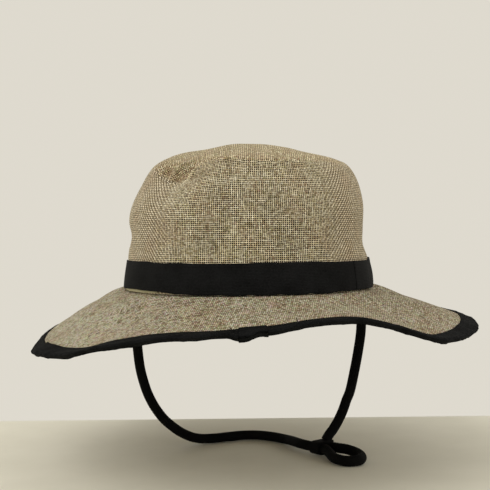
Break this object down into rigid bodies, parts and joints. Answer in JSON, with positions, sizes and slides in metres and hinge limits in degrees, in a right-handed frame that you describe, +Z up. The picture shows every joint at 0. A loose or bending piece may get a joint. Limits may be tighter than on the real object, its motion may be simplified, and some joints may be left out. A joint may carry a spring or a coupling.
{
  "type": "bush hat",
  "caption": "Coarse linen bush hat with a dented round crown, a drooping bound brim, a black ribbon and a black cord chin strap with a slack loop.",
  "frame": {"origin": "middle of the head opening, in the plane of the seam between crown and brim", "axes": "+Z up towards the tip of the crown, +X from ear to ear, -Y towards the side that the picture shows"},
  "size_m": [0.3099, 0.351, 0.2178],
  "materials": {
    "linen": "coarse open plain weave, natural tan, matte",
    "linen_edge": "turned seam allowance, matte",
    "ribbon": "ribbed black ribbon, soft sheen",
    "tape": "black binding tape, slightly puckered",
    "cord": "finely braided black cord, matte"
  },
  "bodies": {
    "root": {"crown": "linen", "brim": "linen", "seam_welt": "linen_edge", "hat_band": "ribbon", "brim_binding": "tape", "chin_cord_left": "cord", "chin_cord_right": "cord", "cord_keeper": "cord", "cord_tab_left": "tape", "cord_tab_right": "tape"}
  },
  "joints": []
}
